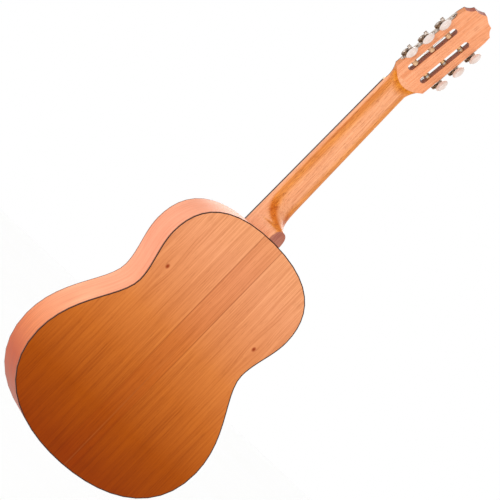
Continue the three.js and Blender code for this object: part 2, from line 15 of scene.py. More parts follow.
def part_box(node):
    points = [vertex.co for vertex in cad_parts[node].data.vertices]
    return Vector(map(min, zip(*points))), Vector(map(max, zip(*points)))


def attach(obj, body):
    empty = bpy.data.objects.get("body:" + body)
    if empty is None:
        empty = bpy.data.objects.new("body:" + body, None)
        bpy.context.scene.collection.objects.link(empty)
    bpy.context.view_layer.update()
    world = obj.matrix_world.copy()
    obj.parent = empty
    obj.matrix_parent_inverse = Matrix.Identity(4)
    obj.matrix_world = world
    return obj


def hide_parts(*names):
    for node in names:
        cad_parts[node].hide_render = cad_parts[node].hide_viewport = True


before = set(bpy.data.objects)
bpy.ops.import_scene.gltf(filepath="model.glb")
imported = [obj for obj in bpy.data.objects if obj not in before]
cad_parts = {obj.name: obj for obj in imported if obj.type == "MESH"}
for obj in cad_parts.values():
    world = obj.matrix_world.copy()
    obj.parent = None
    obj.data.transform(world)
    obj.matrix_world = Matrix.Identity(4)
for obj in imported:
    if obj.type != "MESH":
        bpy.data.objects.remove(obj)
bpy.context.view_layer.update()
scene = bpy.context.scene

# -------------------------------------------------- the room
# A white studio with a pale matt floor. The guitar hangs over it from a fork that isn't shown, tilted in
# the camera's frame, and is lit evenly, with a little more light from the side of the head.
tail_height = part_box("back_binding")[0].z
face_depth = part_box("top_binding")[0].y


def at(x, y, z):
    """A point of the instrument, given in millimetres, as a place in the scene."""
    return Vector((x / 1000, face_depth + y / 1000, tail_height + z / 1000))


def linear(hex_colour):
    """An sRGB hex colour as linear red, green, blue and full alpha."""
    parts = [int(hex_colour[i : i + 2], 16) / 255 for i in (1, 3, 5)]
    return tuple(c / 12.92 if c <= 0.04045 else ((c + 0.055) / 1.055) ** 2.4 for c in parts) + (1,)


def put(tree, kind, sockets=None, stops=None, **settings):
    """Adds a node with its settings, and gives each named input a value or a link."""
    node = tree.nodes.new(kind)
    for name, value in settings.items():
        setattr(node, name, value)
    for name, value in (sockets or {}).items():
        if isinstance(value, bpy.types.NodeSocket):
            tree.links.new(value, node.inputs[name])
        else:
            node.inputs[name].default_value = value
    for i, (position, colour) in enumerate(stops or []):
        if i < 2:
            stop = node.color_ramp.elements[i]
            stop.position = position
        else:
            stop = node.color_ramp.elements.new(position)
        stop.color = linear(colour)
    return node


def new_finish(name, **constants):
    """A material whose shader has these constant values. Returns the material, its nodes and the shader."""
    material = bpy.data.materials.new(name)
    material.use_nodes = True
    shader = material.node_tree.nodes["Principled BSDF"]
    for socket, value in constants.items():
        shader.inputs[socket.replace("_", " ")].default_value = value
    return material, material.node_tree, shader


scene.view_settings.view_transform = "Standard"
world = bpy.data.worlds.new("studio_white")
world.use_nodes = True
world.node_tree.nodes["Background"].inputs["Color"].default_value = (1, 1, 1, 1)
world.node_tree.nodes["Background"].inputs["Strength"].default_value = 1.0
scene.world = world

camera_azimuth, camera_elevation, camera_roll = map(math.radians, (156.95, -1.73, 44.19))
towards_camera = Vector(
    (
        math.sin(camera_azimuth) * math.cos(camera_elevation),
        -math.cos(camera_azimuth) * math.cos(camera_elevation),
        math.sin(camera_elevation),
    )
)
level = Vector((0, 0, 1)).cross(towards_camera).normalized()
upright = towards_camera.cross(level)
picture_right = math.cos(camera_roll) * level + math.sin(camera_roll) * upright
picture_up = math.cos(camera_roll) * upright - math.sin(camera_roll) * level
camera = bpy.data.objects.new("camera", bpy.data.cameras.new("camera"))
camera.data.lens = 136.1
camera.data.sensor_width = 36
camera.matrix_world = Matrix.Translation(at(1210.5, 2887.2, 364.9)) @ Matrix(
    (picture_right, picture_up, towards_camera)
).transposed().to_4x4()
scene.collection.objects.link(camera)
scene.camera = camera


def soft_light(name, place, size, power):
    """A square soft box at that place, facing the guitar's middle."""
    light = bpy.data.objects.new(name, bpy.data.lights.new(name, "AREA"))
    light.data.size = size
    light.data.energy = power
    light.location = place
    light.rotation_mode = "QUATERNION"
    light.rotation_quaternion = (at(0, 47, 480) - Vector(place)).to_track_quat("-Z", "Y")
    scene.collection.objects.link(light)


soft_light("key_box", (2.5, 1.5, -0.1), 1.8, 29)
soft_light("side_box", (-2.2, 2.4, 0.2), 2.0, 16)
soft_light("front_box", (-1.2, -3.0, 1.2), 2.0, 34)

# The floor is low enough not to hide the guitar from below.
floor_drop, floor_reach = 1.2, 30
floor_mesh = bpy.data.meshes.new("floor")
floor_mesh.from_pydata(
    [
        (x * floor_reach, y * floor_reach, tail_height - floor_drop)
        for x, y in ((-1, -1), (1, -1), (1, 1), (-1, 1))
    ],
    [],
    [(0, 1, 2, 3)],
)
floor = bpy.data.objects.new("floor", floor_mesh)
scene.collection.objects.link(floor)
# Matt white paint: it mirrors nothing and only changes tone very faintly.
floor_paint, tree, shader = new_finish("matt_white_floor", Roughness=0.9)
floor_grain = put(tree, "ShaderNodeTexNoise", {"Scale": 40.0, "Detail": 3.0})
tint = put(
    tree, "ShaderNodeValToRGB", {0: floor_grain.outputs[0]}, stops=[(0.3, "#fdfdfc"), (0.7, "#fefefe")]
)
tree.links.new(tint.outputs[0], shader.inputs["Base Color"])
floor.data.materials.append(floor_paint)

# --------------------------------------------- the flat back
# Three strips of reddish-brown, cedar-coloured veneer: two book-matched halves with a mirrored pin knot in
# each, and a centre strip between two thin joints. The open grain is filled with an amber toning lacquer,
# rubbed down to a satin sheen. The colour is painted darker towards the tail: painted shade, where less light
# falls.


def place_in_mm(tree):
    """The place being shaded, in the instrument's millimetres."""
    here = put(tree, "ShaderNodeTexCoord").outputs["Object"]
    shift = tuple(-1000 * at(0, 0, 0))
    return put(
        tree, "ShaderNodeVectorMath", {0: here, 1: (1000, 1000, 1000), 2: shift}, operation="MULTIPLY_ADD"
    ).outputs[0]


def streaks(tree, place, width, depth, length, seed, detail=2.0):
    """Wood fibres: a noise whose grains have that width, depth and length in millimetres."""
    drawn = put(
        tree,
        "ShaderNodeVectorMath",
        {0: place, 1: (1 / width, 1 / depth, 1 / length), 2: (seed, seed * 1.7, seed * 0.6)},
        operation="MULTIPLY_ADD",
    )
    noise = put(tree, "ShaderNodeTexNoise", {"Vector": drawn.outputs[0], "Scale": 1.0, "Detail": detail})
    return noise.outputs[0]


def finished(node, material, edge=0.3, sharp=32, body="guitar"):
    """The CAD node's own shape with its facets smoothed and its sharp edges eased by edge millimetres."""
    mesh = bpy.data.meshes.new(node + "_finished")
    shape = bmesh.new()
    shape.from_mesh(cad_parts[node].data)
    bmesh.ops.remove_doubles(shape, verts=shape.verts, dist=2e-6)
    bmesh.ops.dissolve_limit(
        shape, angle_limit=math.radians(0.4), verts=shape.verts, edges=shape.edges
    )
    for face in shape.faces:
        face.smooth = True
    for line in shape.edges:
        line.smooth = line.calc_face_angle(0) < math.radians(sharp)
    shape.to_mesh(mesh)
    shape.free()
    piece = bpy.data.objects.new(node + "_finished", mesh)
    scene.collection.objects.link(piece)
    if edge:
        easing = piece.modifiers.new("eased_edges", "BEVEL")
        easing.width = edge / 1000
        easing.segments = 2
        easing.limit_method = "ANGLE"
        easing.angle_limit = math.radians(sharp)
        easing.harden_normals = True
    mesh.materials.clear()
    mesh.materials.append(material)
    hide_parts(node)
    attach(piece, body)


multiplied = {"data_type": "RGBA", "blend_type": "MULTIPLY"}
covering = {"data_type": "RGBA"}
body_length = 492.0
strip_half_width = 21.0
knot_off_centre, knot_height = 105.0, 346.0

# Lacquered veneer: a soft warm sheen, never white, over fibres that catch the light a little unevenly.
back_veneer, tree, shader = new_finish(
    "toned_cedar_veneer", Specular_IOR_Level=0.14, Specular_Tint=(1.0, 0.62, 0.32, 1.0)
)
place = place_in_mm(tree)
xyz = put(tree, "ShaderNodeSeparateXYZ", {0: place}).outputs
off_centre = put(tree, "ShaderNodeMath", {0: xyz[0]}, operation="ABSOLUTE").outputs[0]
knot_side = put(tree, "ShaderNodeMath", {0: off_centre, 1: knot_off_centre}, operation="SUBTRACT").outputs[0]
knot_up = put(tree, "ShaderNodeMath", {0: xyz[2], 1: knot_height}, operation="SUBTRACT").outputs[0]
knot_vector = put(tree, "ShaderNodeCombineXYZ", {0: knot_side, 1: knot_up}).outputs[0]
swirl = put(
    tree, "ShaderNodeVectorMath", {0: knot_vector, 1: (1 / 14, 1 / 40, 0)}, operation="MULTIPLY"
).outputs[0]
swirl = put(tree, "ShaderNodeVectorMath", {0: swirl}, operation="LENGTH").outputs[1]
# The fibres part around each knot.
squeeze = put(
    tree, "ShaderNodeMapRange", {0: swirl, 1: 0.0, 2: 1.7, 3: 0.25, 4: 1.0}, interpolation_type="SMOOTHSTEP"
).outputs[0]
parted = put(tree, "ShaderNodeMath", {0: knot_side, 1: squeeze}, operation="MULTIPLY").outputs[0]
in_strip = put(
    tree,
    "ShaderNodeMapRange",
    {0: off_centre, 1: strip_half_width - 0.4, 2: strip_half_width + 0.4, 3: 1.0, 4: 0.0},
).outputs[0]
strip_x = put(tree, "ShaderNodeMath", {0: xyz[0], 1: 400.0}, operation="ADD").outputs[0]
grain_x = put(tree, "ShaderNodeMix", {0: in_strip, 2: parted, 3: strip_x}).outputs[0]
grain_place = put(tree, "ShaderNodeCombineXYZ", {0: grain_x, 1: xyz[1], 2: xyz[2]}).outputs[0]
fibres = streaks(tree, grain_place, 1.7, 1.7, 75, 3.1, 4.0)
bands = streaks(tree, grain_place, 8, 8, 520, 8.2)
figure = streaks(tree, grain_place, 38, 38, 300, 5.5)
# Pores are 0.2 mm wide in the wood; they are drawn 1.1 mm wide so that they show.
pores = streaks(tree, grain_place, 1.1, 1.1, 20, 1.9)
mixed = put(tree, "ShaderNodeMath", {0: fibres, 1: 0.5, 2: 0.0}, operation="MULTIPLY_ADD").outputs[0]
mixed = put(tree, "ShaderNodeMath", {0: bands, 1: 0.3, 2: mixed}, operation="MULTIPLY_ADD").outputs[0]
mixed = put(tree, "ShaderNodeMath", {0: figure, 1: 0.2, 2: mixed}, operation="MULTIPLY_ADD").outputs[0]
up_the_back = put(tree, "ShaderNodeMapRange", {0: xyz[2], 1: 0.0, 2: body_length}).outputs[0]
# Painted shade: the colour darkens from the head end to the tail, where less light falls.
tone_and_painted_shade = put(
    tree,
    "ShaderNodeValToRGB",
    {0: up_the_back},
    stops=[
        (0.04, "#8c3600"),
        (1.0, "#e8a273"),
        (0.22, "#9f4904"),
        (0.4, "#bb6522"),
        (0.55, "#cd7a3b"),
        (0.7, "#db8e5b"),
        (0.85, "#e49b6e"),
    ],
).outputs[0]
grain = put(
    tree, "ShaderNodeValToRGB", {0: mixed}, stops=[(0.34, "#d9c7bb"), (0.66, "#ffffff"), (0.5, "#f1e9e4")]
).outputs[0]
colour = put(tree, "ShaderNodeMix", {0: 1.0, 6: tone_and_painted_shade, 7: grain}, **multiplied).outputs[2]
colour = put(tree, "ShaderNodeMix", {0: in_strip, 6: colour, 7: linear("#fbf3ef")}, **multiplied).outputs[2]
pore_share = put(tree, "ShaderNodeMapRange", {0: pores, 1: 0.58, 2: 0.72, 3: 0.0, 4: 0.32}).outputs[0]
colour = put(
    tree, "ShaderNodeMix", {0: pore_share, 6: colour, 7: linear("#a88a78")}, **multiplied
).outputs[2]
from_joint = put(
    tree, "ShaderNodeMath", {0: off_centre, 1: strip_half_width}, operation="SUBTRACT"
).outputs[0]
from_joint = put(tree, "ShaderNodeMath", {0: from_joint}, operation="ABSOLUTE").outputs[0]
joint_line = put(tree, "ShaderNodeMapRange", {0: from_joint, 1: 0.3, 2: 1.0, 3: 1.0, 4: 0.0}).outputs[0]
joint_fade = put(tree, "ShaderNodeMapRange", {0: xyz[2], 1: 120.0, 2: 330.0, 3: 0.12, 4: 0.6}).outputs[0]
joint_line = put(tree, "ShaderNodeMath", {0: joint_line, 1: joint_fade}, operation="MULTIPLY").outputs[0]
colour = put(
    tree, "ShaderNodeMix", {0: joint_line, 6: colour, 7: linear("#9a7458")}, **multiplied
).outputs[2]
knot_core = put(
    tree, "ShaderNodeVectorMath", {0: knot_vector, 1: (1 / 4.2, 1 / 5.5, 0)}, operation="MULTIPLY"
).outputs[0]
knot_core = put(tree, "ShaderNodeVectorMath", {0: knot_core}, operation="LENGTH").outputs[1]
knot_core = put(tree, "ShaderNodeMapRange", {0: knot_core, 1: 0.35, 2: 1.0, 3: 0.95, 4: 0.0}).outputs[0]
colour = put(tree, "ShaderNodeMix", {0: knot_core, 6: colour, 7: linear("#8a3010")}, **covering).outputs[2]
# One pale streak runs down the lower part of the centre strip.
streak_x = put(tree, "ShaderNodeMath", {0: xyz[0], 1: 6.0}, operation="ADD").outputs[0]
streak_x = put(tree, "ShaderNodeMath", {0: streak_x}, operation="ABSOLUTE").outputs[0]
streak = put(tree, "ShaderNodeMapRange", {0: streak_x, 1: 0.3, 2: 1.6, 3: 0.22, 4: 0.0}).outputs[0]
streak_end = put(tree, "ShaderNodeMapRange", {0: xyz[2], 1: 230.0, 2: 285.0, 3: 1.0, 4: 0.0}).outputs[0]
streak = put(tree, "ShaderNodeMath", {0: streak, 1: streak_end}, operation="MULTIPLY").outputs[0]
colour = put(
    tree, "ShaderNodeMix", {0: streak, 6: colour, 7: linear("#8a5a30")}, data_type="RGBA", blend_type="SCREEN"
).outputs[2]
tree.links.new(colour, shader.inputs["Base Color"])
sheen = put(tree, "ShaderNodeMapRange", {0: fibres, 3: 0.4, 4: 0.58}).outputs[0]
tree.links.new(sheen, shader.inputs["Roughness"])
relief = put(tree, "ShaderNodeBump", {"Height": fibres, "Strength": 0.25, "Distance": 0.0002})
tree.links.new(relief.outputs[0], shader.inputs["Normal"])
finished("back", back_veneer, 0.15)

# -------------------------------------------------- the ribs
# Two thin strips of the same kind of wood, bent over a hot pipe into the body's sides and joined at the
# tail. They are left paler than the back under a satin lacquer, with the grain running round the body.
# Thin lacquer over bent veneer: pale and almost without gloss. Its colour is painted darker towards the tail
# and brighter at the waist: painted shade and painted light.
rib_veneer, tree, shader = new_finish(
    "bent_rib_veneer", Specular_IOR_Level=0.08, Specular_Tint=(1.0, 0.7, 0.5, 1.0)
)
place = place_in_mm(tree)
xyz = put(tree, "ShaderNodeSeparateXYZ", {0: place}).outputs
fibres = streaks(tree, place, 70, 2.2, 70, 4.4, 3.0)
clouds = streaks(tree, place, 60, 45, 60, 9.1)
up_the_rib = put(tree, "ShaderNodeMapRange", {0: xyz[2], 1: 0.0, 2: body_length}).outputs[0]
# Painted shade and light: darkest at the tail, brightest at the waist.
tone_and_painted_shade = put(
    tree,
    "ShaderNodeValToRGB",
    {0: up_the_rib},
    stops=[
        (0.0, "#93482a"),
        (1.0, "#eea37f"),
        (0.16, "#b75025"),
        (0.27, "#dd8150"),
        (0.45, "#fbad84"),
        (0.7, "#f2a07d"),
    ],
).outputs[0]
grain = put(tree, "ShaderNodeValToRGB", {0: fibres}, stops=[(0.3, "#e9ddd6"), (0.65, "#ffffff")]).outputs[0]
colour = put(tree, "ShaderNodeMix", {0: 1.0, 6: tone_and_painted_shade, 7: grain}, **multiplied).outputs[2]
cloud_share = put(tree, "ShaderNodeMapRange", {0: clouds, 1: 0.35, 2: 0.7, 3: 0.0, 4: 0.35}).outputs[0]
colour = put(
    tree, "ShaderNodeMix", {0: cloud_share, 6: colour, 7: linear("#ecd4c8")}, **multiplied
).outputs[2]
tree.links.new(colour, shader.inputs["Base Color"])
sheen = put(tree, "ShaderNodeMapRange", {0: fibres, 3: 0.36, 4: 0.5}).outputs[0]
tree.links.new(sheen, shader.inputs["Roughness"])
relief = put(tree, "ShaderNodeBump", {"Height": fibres, "Strength": 0.2, "Distance": 0.0002})
tree.links.new(relief.outputs[0], shader.inputs["Normal"])
finished("rib_treble", rib_veneer, 0)
finished("rib_bass", rib_veneer, 0)

# ------------------------------------- soundboard and braces
# Quartersawn spruce, book-matched, with straight annual rings about 2 mm apart and a pale satin lacquer.
# The braces, linings and tail block inside are the same wood, left bare.
# Satin-lacquered spruce: pale yellow, with fine ring lines and a gentle sheen.
spruce, tree, shader = new_finish("satin_spruce", Roughness=0.42, Specular_IOR_Level=0.35)
place = place_in_mm(tree)
xyz = put(tree, "ShaderNodeSeparateXYZ", {0: place}).outputs
off_centre = put(tree, "ShaderNodeMath", {0: xyz[0]}, operation="ABSOLUTE").outputs[0]
drift = streaks(tree, place, 60, 60, 300, 2.0)
ring = put(tree, "ShaderNodeMath", {0: drift, 1: 14.0, 2: off_centre}, operation="MULTIPLY_ADD").outputs[0]
ring = put(tree, "ShaderNodeMath", {0: ring, 1: 2.0}, operation="FLOORED_MODULO").outputs[0]
fibres = streaks(tree, place, 0.9, 0.9, 45, 6.3, 3.0)
ring = put(tree, "ShaderNodeMath", {0: fibres, 1: 0.9, 2: ring}, operation="MULTIPLY_ADD").outputs[0]
colour = put(
    tree,
    "ShaderNodeValToRGB",
    {0: put(tree, "ShaderNodeMapRange", {0: ring, 1: 0.2, 2: 2.6}).outputs[0]},
    stops=[(0.0, "#e3bd84"), (1.0, "#c08a4c"), (0.7, "#dcb074")],
).outputs[0]
tree.links.new(colour, shader.inputs["Base Color"])
relief = put(tree, "ShaderNodeBump", {"Height": fibres, "Strength": 0.15, "Distance": 0.0002})
tree.links.new(relief.outputs[0], shader.inputs["Normal"])
finished("soundboard", spruce, 0.15)

inside = ["top_lining", "back_lining", "tail_block", "upper_harmonic_bar", "lower_harmonic_bar"]
inside += [f"fan_brace_{n}" for n in range(1, 6)] + [f"back_brace_{n}" for n in range(1, 4)]
# Bare spruce from the plane: dry, with no sheen.
bare_spruce, tree, shader = new_finish("bare_spruce", Roughness=0.75)
fibres = streaks(tree, place_in_mm(tree), 1.5, 1.5, 60, 7.7, 3.0)
colour = put(tree, "ShaderNodeValToRGB", {0: fibres}, stops=[(0.3, "#c99f6a"), (0.7, "#e6c795")]).outputs[0]
tree.links.new(colour, shader.inputs["Base Color"])
for node in inside:
    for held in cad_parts[node].material_slots:
        held.material = bare_spruce

# ------------------------------------------------- the edges
# A narrow strip of dark rosewood is let into the corner all round, front and back, and scraped flush. It
# protects the end grain of the two plates, and shows as a fine dark line.
# Scraped rosewood strip: nearly black, dull beside the lacquer of the plates.
edge_wood, tree, shader = new_finish("dark_edge_strip", Roughness=0.5, Specular_IOR_Level=0.2)
fibres = streaks(tree, place_in_mm(tree), 25, 1.2, 25, 2.6)
colour = put(tree, "ShaderNodeValToRGB", {0: fibres}, stops=[(0.3, "#24100a"), (0.7, "#3f1e13")]).outputs[0]
facing = put(tree, "ShaderNodeTexCoord").outputs["Normal"]
facing = put(tree, "ShaderNodeSeparateXYZ", {0: facing}).outputs[1]
on_face = put(tree, "ShaderNodeMath", {0: facing}, operation="ABSOLUTE").outputs[0]
# Round the sides the strip is paler, where the lacquer over the ribs has been run across it.
on_side = put(tree, "ShaderNodeMapRange", {0: on_face, 1: 0.3, 2: 0.7, 3: 0.75, 4: 0.0}).outputs[0]
colour = put(tree, "ShaderNodeMix", {0: on_side, 6: colour, 7: linear("#8a5238")}, **covering).outputs[2]
tree.links.new(colour, shader.inputs["Base Color"])
finished("back_binding", edge_wood, 0.3, 50)
finished("top_binding", edge_wood, 0.3, 50)

# ----------------------------------------------- the rosette
# An inlay of tiny dyed end-grain tiles between dark and pale rings, glued into a channel round the
# soundhole and levelled with the soundboard.
soundhole_middle = 338.0
# Dyed woods under lacquer: small flat patches of colour with one even sheen.
rosette_wood, tree, shader = new_finish("rosette_mosaic", Roughness=0.4)
xyz = put(tree, "ShaderNodeSeparateXYZ", {0: place_in_mm(tree)}).outputs
from_middle = put(tree, "ShaderNodeMath", {0: xyz[2], 1: soundhole_middle}, operation="SUBTRACT").outputs[0]
flat = put(tree, "ShaderNodeCombineXYZ", {0: xyz[0], 1: from_middle}).outputs[0]
radius = put(tree, "ShaderNodeVectorMath", {0: flat}, operation="LENGTH").outputs[1]
turn = put(tree, "ShaderNodeMath", {0: from_middle, 1: xyz[0]}, operation="ARCTAN2").outputs[0]
# Tiles are 1.1 mm across: 300 of them go round the ring.
around = put(tree, "ShaderNodeMath", {0: turn, 1: 300 / (2 * math.pi)}, operation="MULTIPLY").outputs[0]
outward = put(tree, "ShaderNodeMath", {0: radius, 1: 1.1}, operation="DIVIDE").outputs[0]
tile = put(tree, "ShaderNodeCombineXYZ", {0: around, 1: outward}).outputs[0]
tile = put(tree, "ShaderNodeVectorMath", {0: tile}, operation="FLOOR").outputs[0]
lot = put(tree, "ShaderNodeTexWhiteNoise", {0: tile}).outputs[0]
mosaic = put(
    tree,
    "ShaderNodeValToRGB",
    {0: lot},
    stops=[(0.0, "#3a2015"), (0.85, "#d8b070"), (0.3, "#7a3a1c"), (0.6, "#4d4a22")],
)
mosaic.color_ramp.interpolation = "CONSTANT"
rings = put(
    tree,
    "ShaderNodeValToRGB",
    {0: put(tree, "ShaderNodeMapRange", {0: radius, 1: 47.0, 2: 60.0}).outputs[0]},
    stops=[
        (0.0, "#241210"),
        (0.94, "#241210"),
        (0.07, "#d9b888"),
        (0.12, "#5a2c18"),
        (0.2, "#241210"),
        (0.25, "#ffffff"),
        (0.75, "#241210"),
        (0.8, "#5a2c18"),
        (0.88, "#d9b888"),
    ],
)
rings.color_ramp.interpolation = "CONSTANT"
band = put(tree, "ShaderNodeMath", {0: radius, 1: 53.5}, operation="SUBTRACT").outputs[0]
band = put(tree, "ShaderNodeMath", {0: band}, operation="ABSOLUTE").outputs[0]
in_band = put(tree, "ShaderNodeMath", {0: band, 1: 3.2}, operation="LESS_THAN").outputs[0]
colour = put(
    tree, "ShaderNodeMix", {0: in_band, 6: rings.outputs[0], 7: mosaic.outputs[0]}, **covering
).outputs[2]
tree.links.new(colour, shader.inputs["Base Color"])
finished("rosette", rosette_wood, 0)

# ------------------------------------------- the paper label
# A plain slip of cream paper glued to the inside of the back, where it is seen through the soundhole. It
# carries no words.


def box_piece(name, low, high, edge, material):
    """A rectangular piece between two corners in millimetres, with its edges eased."""
    mesh = bpy.data.meshes.new(name)
    shape = bmesh.new()
    bmesh.ops.create_cube(shape, size=1)
    middle, span = (at(*low) + at(*high)) / 2, at(*high) - at(*low)
    for corner in shape.verts:
        corner.co = Vector(c * s + m for c, s, m in zip(corner.co, span, middle))
    shape.to_mesh(mesh)
    shape.free()
    piece = bpy.data.objects.new(name, mesh)
    scene.collection.objects.link(piece)
    easing = piece.modifiers.new("eased_edges", "BEVEL")
    easing.width = edge / 1000
    easing.segments = 3
    mesh.materials.append(material)
    return piece


# Uncoated paper: quite dull, with a slight mottle.
paper, tree, shader = new_finish("cream_paper", Roughness=0.9)
mottle = streaks(tree, place_in_mm(tree), 3, 3, 3, 1.0, 4.0)
colour = put(tree, "ShaderNodeValToRGB", {0: mottle}, stops=[(0.3, "#e4d7b4"), (0.7, "#f0e6c9")]).outputs[0]
tree.links.new(colour, shader.inputs["Base Color"])
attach(box_piece("paper_label", (-38, 92.5, 312), (38, 92.75, 364), 0.05, paper), "guitar")

# -------------------------------------------------- the neck
# One length of light, open-pored mahogany, shaped by hand from the heel to the crown of the head and sealed
# with a clear satin lacquer. Its corners, the scoop of the heel and the shaft where the head begins are
# painted
# darker amber than the middle: painted shade, with thicker lacquer in the scoop. Cut end grain drinks the
# lacquer and turns red.
head_tilt = math.radians(17)
nut_height = 822


def on_head(x, s, depth):
    """A point of the head: s along it from the nut, depth behind its front face, all in millimetres."""
    return at(
        x,
        s * math.sin(head_tilt) + depth * math.cos(head_tilt),
        nut_height + s * math.cos(head_tilt) - depth * math.sin(head_tilt),
    )


head_half_width = 34.0
arc_foot, arc_rise = 12.5, 16.5  # the arc between neck and head, on the centre line and up to its ends
head_starts, crown_starts = 21.0, 150.0
scoop_height = 530.0
slot_middle, slot_reach, slot_depth = 15.8, 5.8, 17.5  # reach is just over the slot's half width

# Mahogany under satin lacquer: open dark pores and a soft warm sheen, with amber painted shade along its
# corners, in the heel's scoop and below the head.
neck_wood, tree, shader = new_finish(
    "neck_mahogany_painted_shade", Specular_IOR_Level=0.16, Specular_Tint=(1.0, 0.8, 0.6, 1.0)
)
place = place_in_mm(tree)
xyz = put(tree, "ShaderNodeSeparateXYZ", {0: place}).outputs
above_nut = put(
    tree, "ShaderNodeVectorMath", {0: place, 1: (0, 0, nut_height)}, operation="SUBTRACT"
).outputs[0]
in_head = put(
    tree, "ShaderNodeVectorRotate", {"Vector": above_nut, "Angle": head_tilt}, rotation_type="X_AXIS"
).outputs[0]
head_xyz = put(tree, "ShaderNodeSeparateXYZ", {0: in_head}).outputs
off_centre = put(tree, "ShaderNodeMath", {0: xyz[0]}, operation="ABSOLUTE").outputs[0]
is_head = put(tree, "ShaderNodeMath", {0: head_xyz[2], 1: head_starts}, operation="GREATER_THAN").outputs[0]
grain_place = put(tree, "ShaderNodeMix", {0: is_head, 4: place, 5: in_head}, data_type="VECTOR").outputs[1]
fibres = streaks(tree, grain_place, 1.5, 1.5, 70, 5.1, 3.0)
bands = streaks(tree, grain_place, 7, 7, 240, 2.3)
# Pores are 0.15 mm wide in the wood; they are drawn 0.8 mm wide so that they show.
pores = streaks(tree, grain_place, 0.8, 0.8, 15, 7.4)
grain = put(tree, "ShaderNodeMath", {0: fibres, 1: 0.55, 2: 0.0}, operation="MULTIPLY_ADD").outputs[0]
grain = put(tree, "ShaderNodeMath", {0: bands, 1: 0.45, 2: grain}, operation="MULTIPLY_ADD").outputs[0]
colour = put(
    tree, "ShaderNodeValToRGB", {0: grain}, stops=[(0.34, "#d98d61"), (0.62, "#edab83")]
).outputs[0]
# Painted shade, in amber: along both corners, where the wood turns from its flat flank to its round back,
# chosen by which way the surface faces, ...
facing = put(tree, "ShaderNodeTexCoord").outputs["Normal"]
sideways = put(tree, "ShaderNodeSeparateXYZ", {0: facing}).outputs[0]
sideways = put(tree, "ShaderNodeMath", {0: sideways}, operation="ABSOLUTE").outputs[0]
corner = put(
    tree,
    "ShaderNodeMapRange",
    {0: sideways, 1: 0.08, 2: 0.5, 3: 0.2, 4: 1.0},
    interpolation_type="SMOOTHSTEP",
).outputs[0]
flank = put(
    tree,
    "ShaderNodeMapRange",
    {0: sideways, 1: 0.74, 2: 0.97, 3: 1.0, 4: 0.05},
    interpolation_type="SMOOTHSTEP",
).outputs[0]
corner = put(tree, "ShaderNodeMath", {0: corner, 1: flank}, operation="MULTIPLY").outputs[0]
# ... deepest in the scoop between heel and shaft, as painted shade over thicker lacquer, ...
from_scoop = put(tree, "ShaderNodeMath", {0: xyz[2], 1: scoop_height}, operation="SUBTRACT").outputs[0]
from_scoop = put(tree, "ShaderNodeMath", {0: from_scoop}, operation="ABSOLUTE").outputs[0]
shade_near_scoop = put(
    tree,
    "ShaderNodeMapRange",
    {0: from_scoop, 1: 8.0, 2: 40.0, 3: 1.0, 4: 0.8},
    interpolation_type="SMOOTHSTEP",
).outputs[0]
painted_shade = put(tree, "ShaderNodeMath", {0: corner, 1: shade_near_scoop}, operation="MULTIPLY").outputs[0]
in_scoop = put(tree, "ShaderNodeMapRange", {0: from_scoop, 1: 6.0, 2: 26.0, 3: 1.0, 4: 0.0}).outputs[0]
# ... and where the shaft dips to meet the arc at the foot of the head, as painted shade of that step; the
# head itself is left without it.
across = put(tree, "ShaderNodeMath", {0: off_centre, 1: head_half_width}, operation="DIVIDE").outputs[0]
across = put(tree, "ShaderNodeMath", {0: across, 1: 2.0}, operation="POWER").outputs[0]
arc = put(tree, "ShaderNodeMath", {0: across, 1: arc_rise, 2: arc_foot}, operation="MULTIPLY_ADD").outputs[0]
below_arc = put(tree, "ShaderNodeMath", {0: arc, 1: head_xyz[2]}, operation="SUBTRACT").outputs[0]
foot = put(
    tree,
    "ShaderNodeMapRange",
    {0: below_arc, 1: 2.0, 2: 26.0, 3: 1.0, 4: 0.0},
    interpolation_type="SMOOTHSTEP",
).outputs[0]
painted_shade = put(tree, "ShaderNodeMath", {0: painted_shade, 1: foot}, operation="MAXIMUM").outputs[0]
not_head = put(tree, "ShaderNodeMapRange", {0: below_arc, 1: -0.3, 2: 0.3, 3: 0.0, 4: 1.0}).outputs[0]
painted_shade = put(tree, "ShaderNodeMath", {0: painted_shade, 1: not_head}, operation="MULTIPLY").outputs[0]
shade_colour = put(
    tree, "ShaderNodeValToRGB", {0: grain}, stops=[(0.34, "#b05808"), (0.62, "#e08a2a")]
).outputs[0]
# Painted shade over thicker lacquer: the scoop is darkened further.
scoop_shade_and_lacquer = put(tree, "ShaderNodeMath", {0: in_scoop, 1: corner}, operation="MULTIPLY").outputs[0]
shade_colour = put(
    tree, "ShaderNodeMix", {0: scoop_shade_and_lacquer, 6: shade_colour, 7: linear("#f6d8c4")}, **multiplied
).outputs[2]
colour = put(tree, "ShaderNodeMix", {0: painted_shade, 6: colour, 7: shade_colour}, **covering).outputs[2]
colour = put(tree, "ShaderNodeMix", {0: is_head, 6: colour, 7: linear("#fff7f2")}, **multiplied).outputs[2]
# The head's sawn sides took more of the stain than its planed back.
head_side = put(tree, "ShaderNodeMapRange", {0: sideways, 1: 0.6, 2: 0.9, 3: 0.0, 4: 0.8}).outputs[0]
head_side = put(tree, "ShaderNodeMath", {0: head_side, 1: is_head}, operation="MULTIPLY").outputs[0]
colour = put(tree, "ShaderNodeMix", {0: head_side, 6: colour, 7: linear("#c87840")}, **covering).outputs[2]
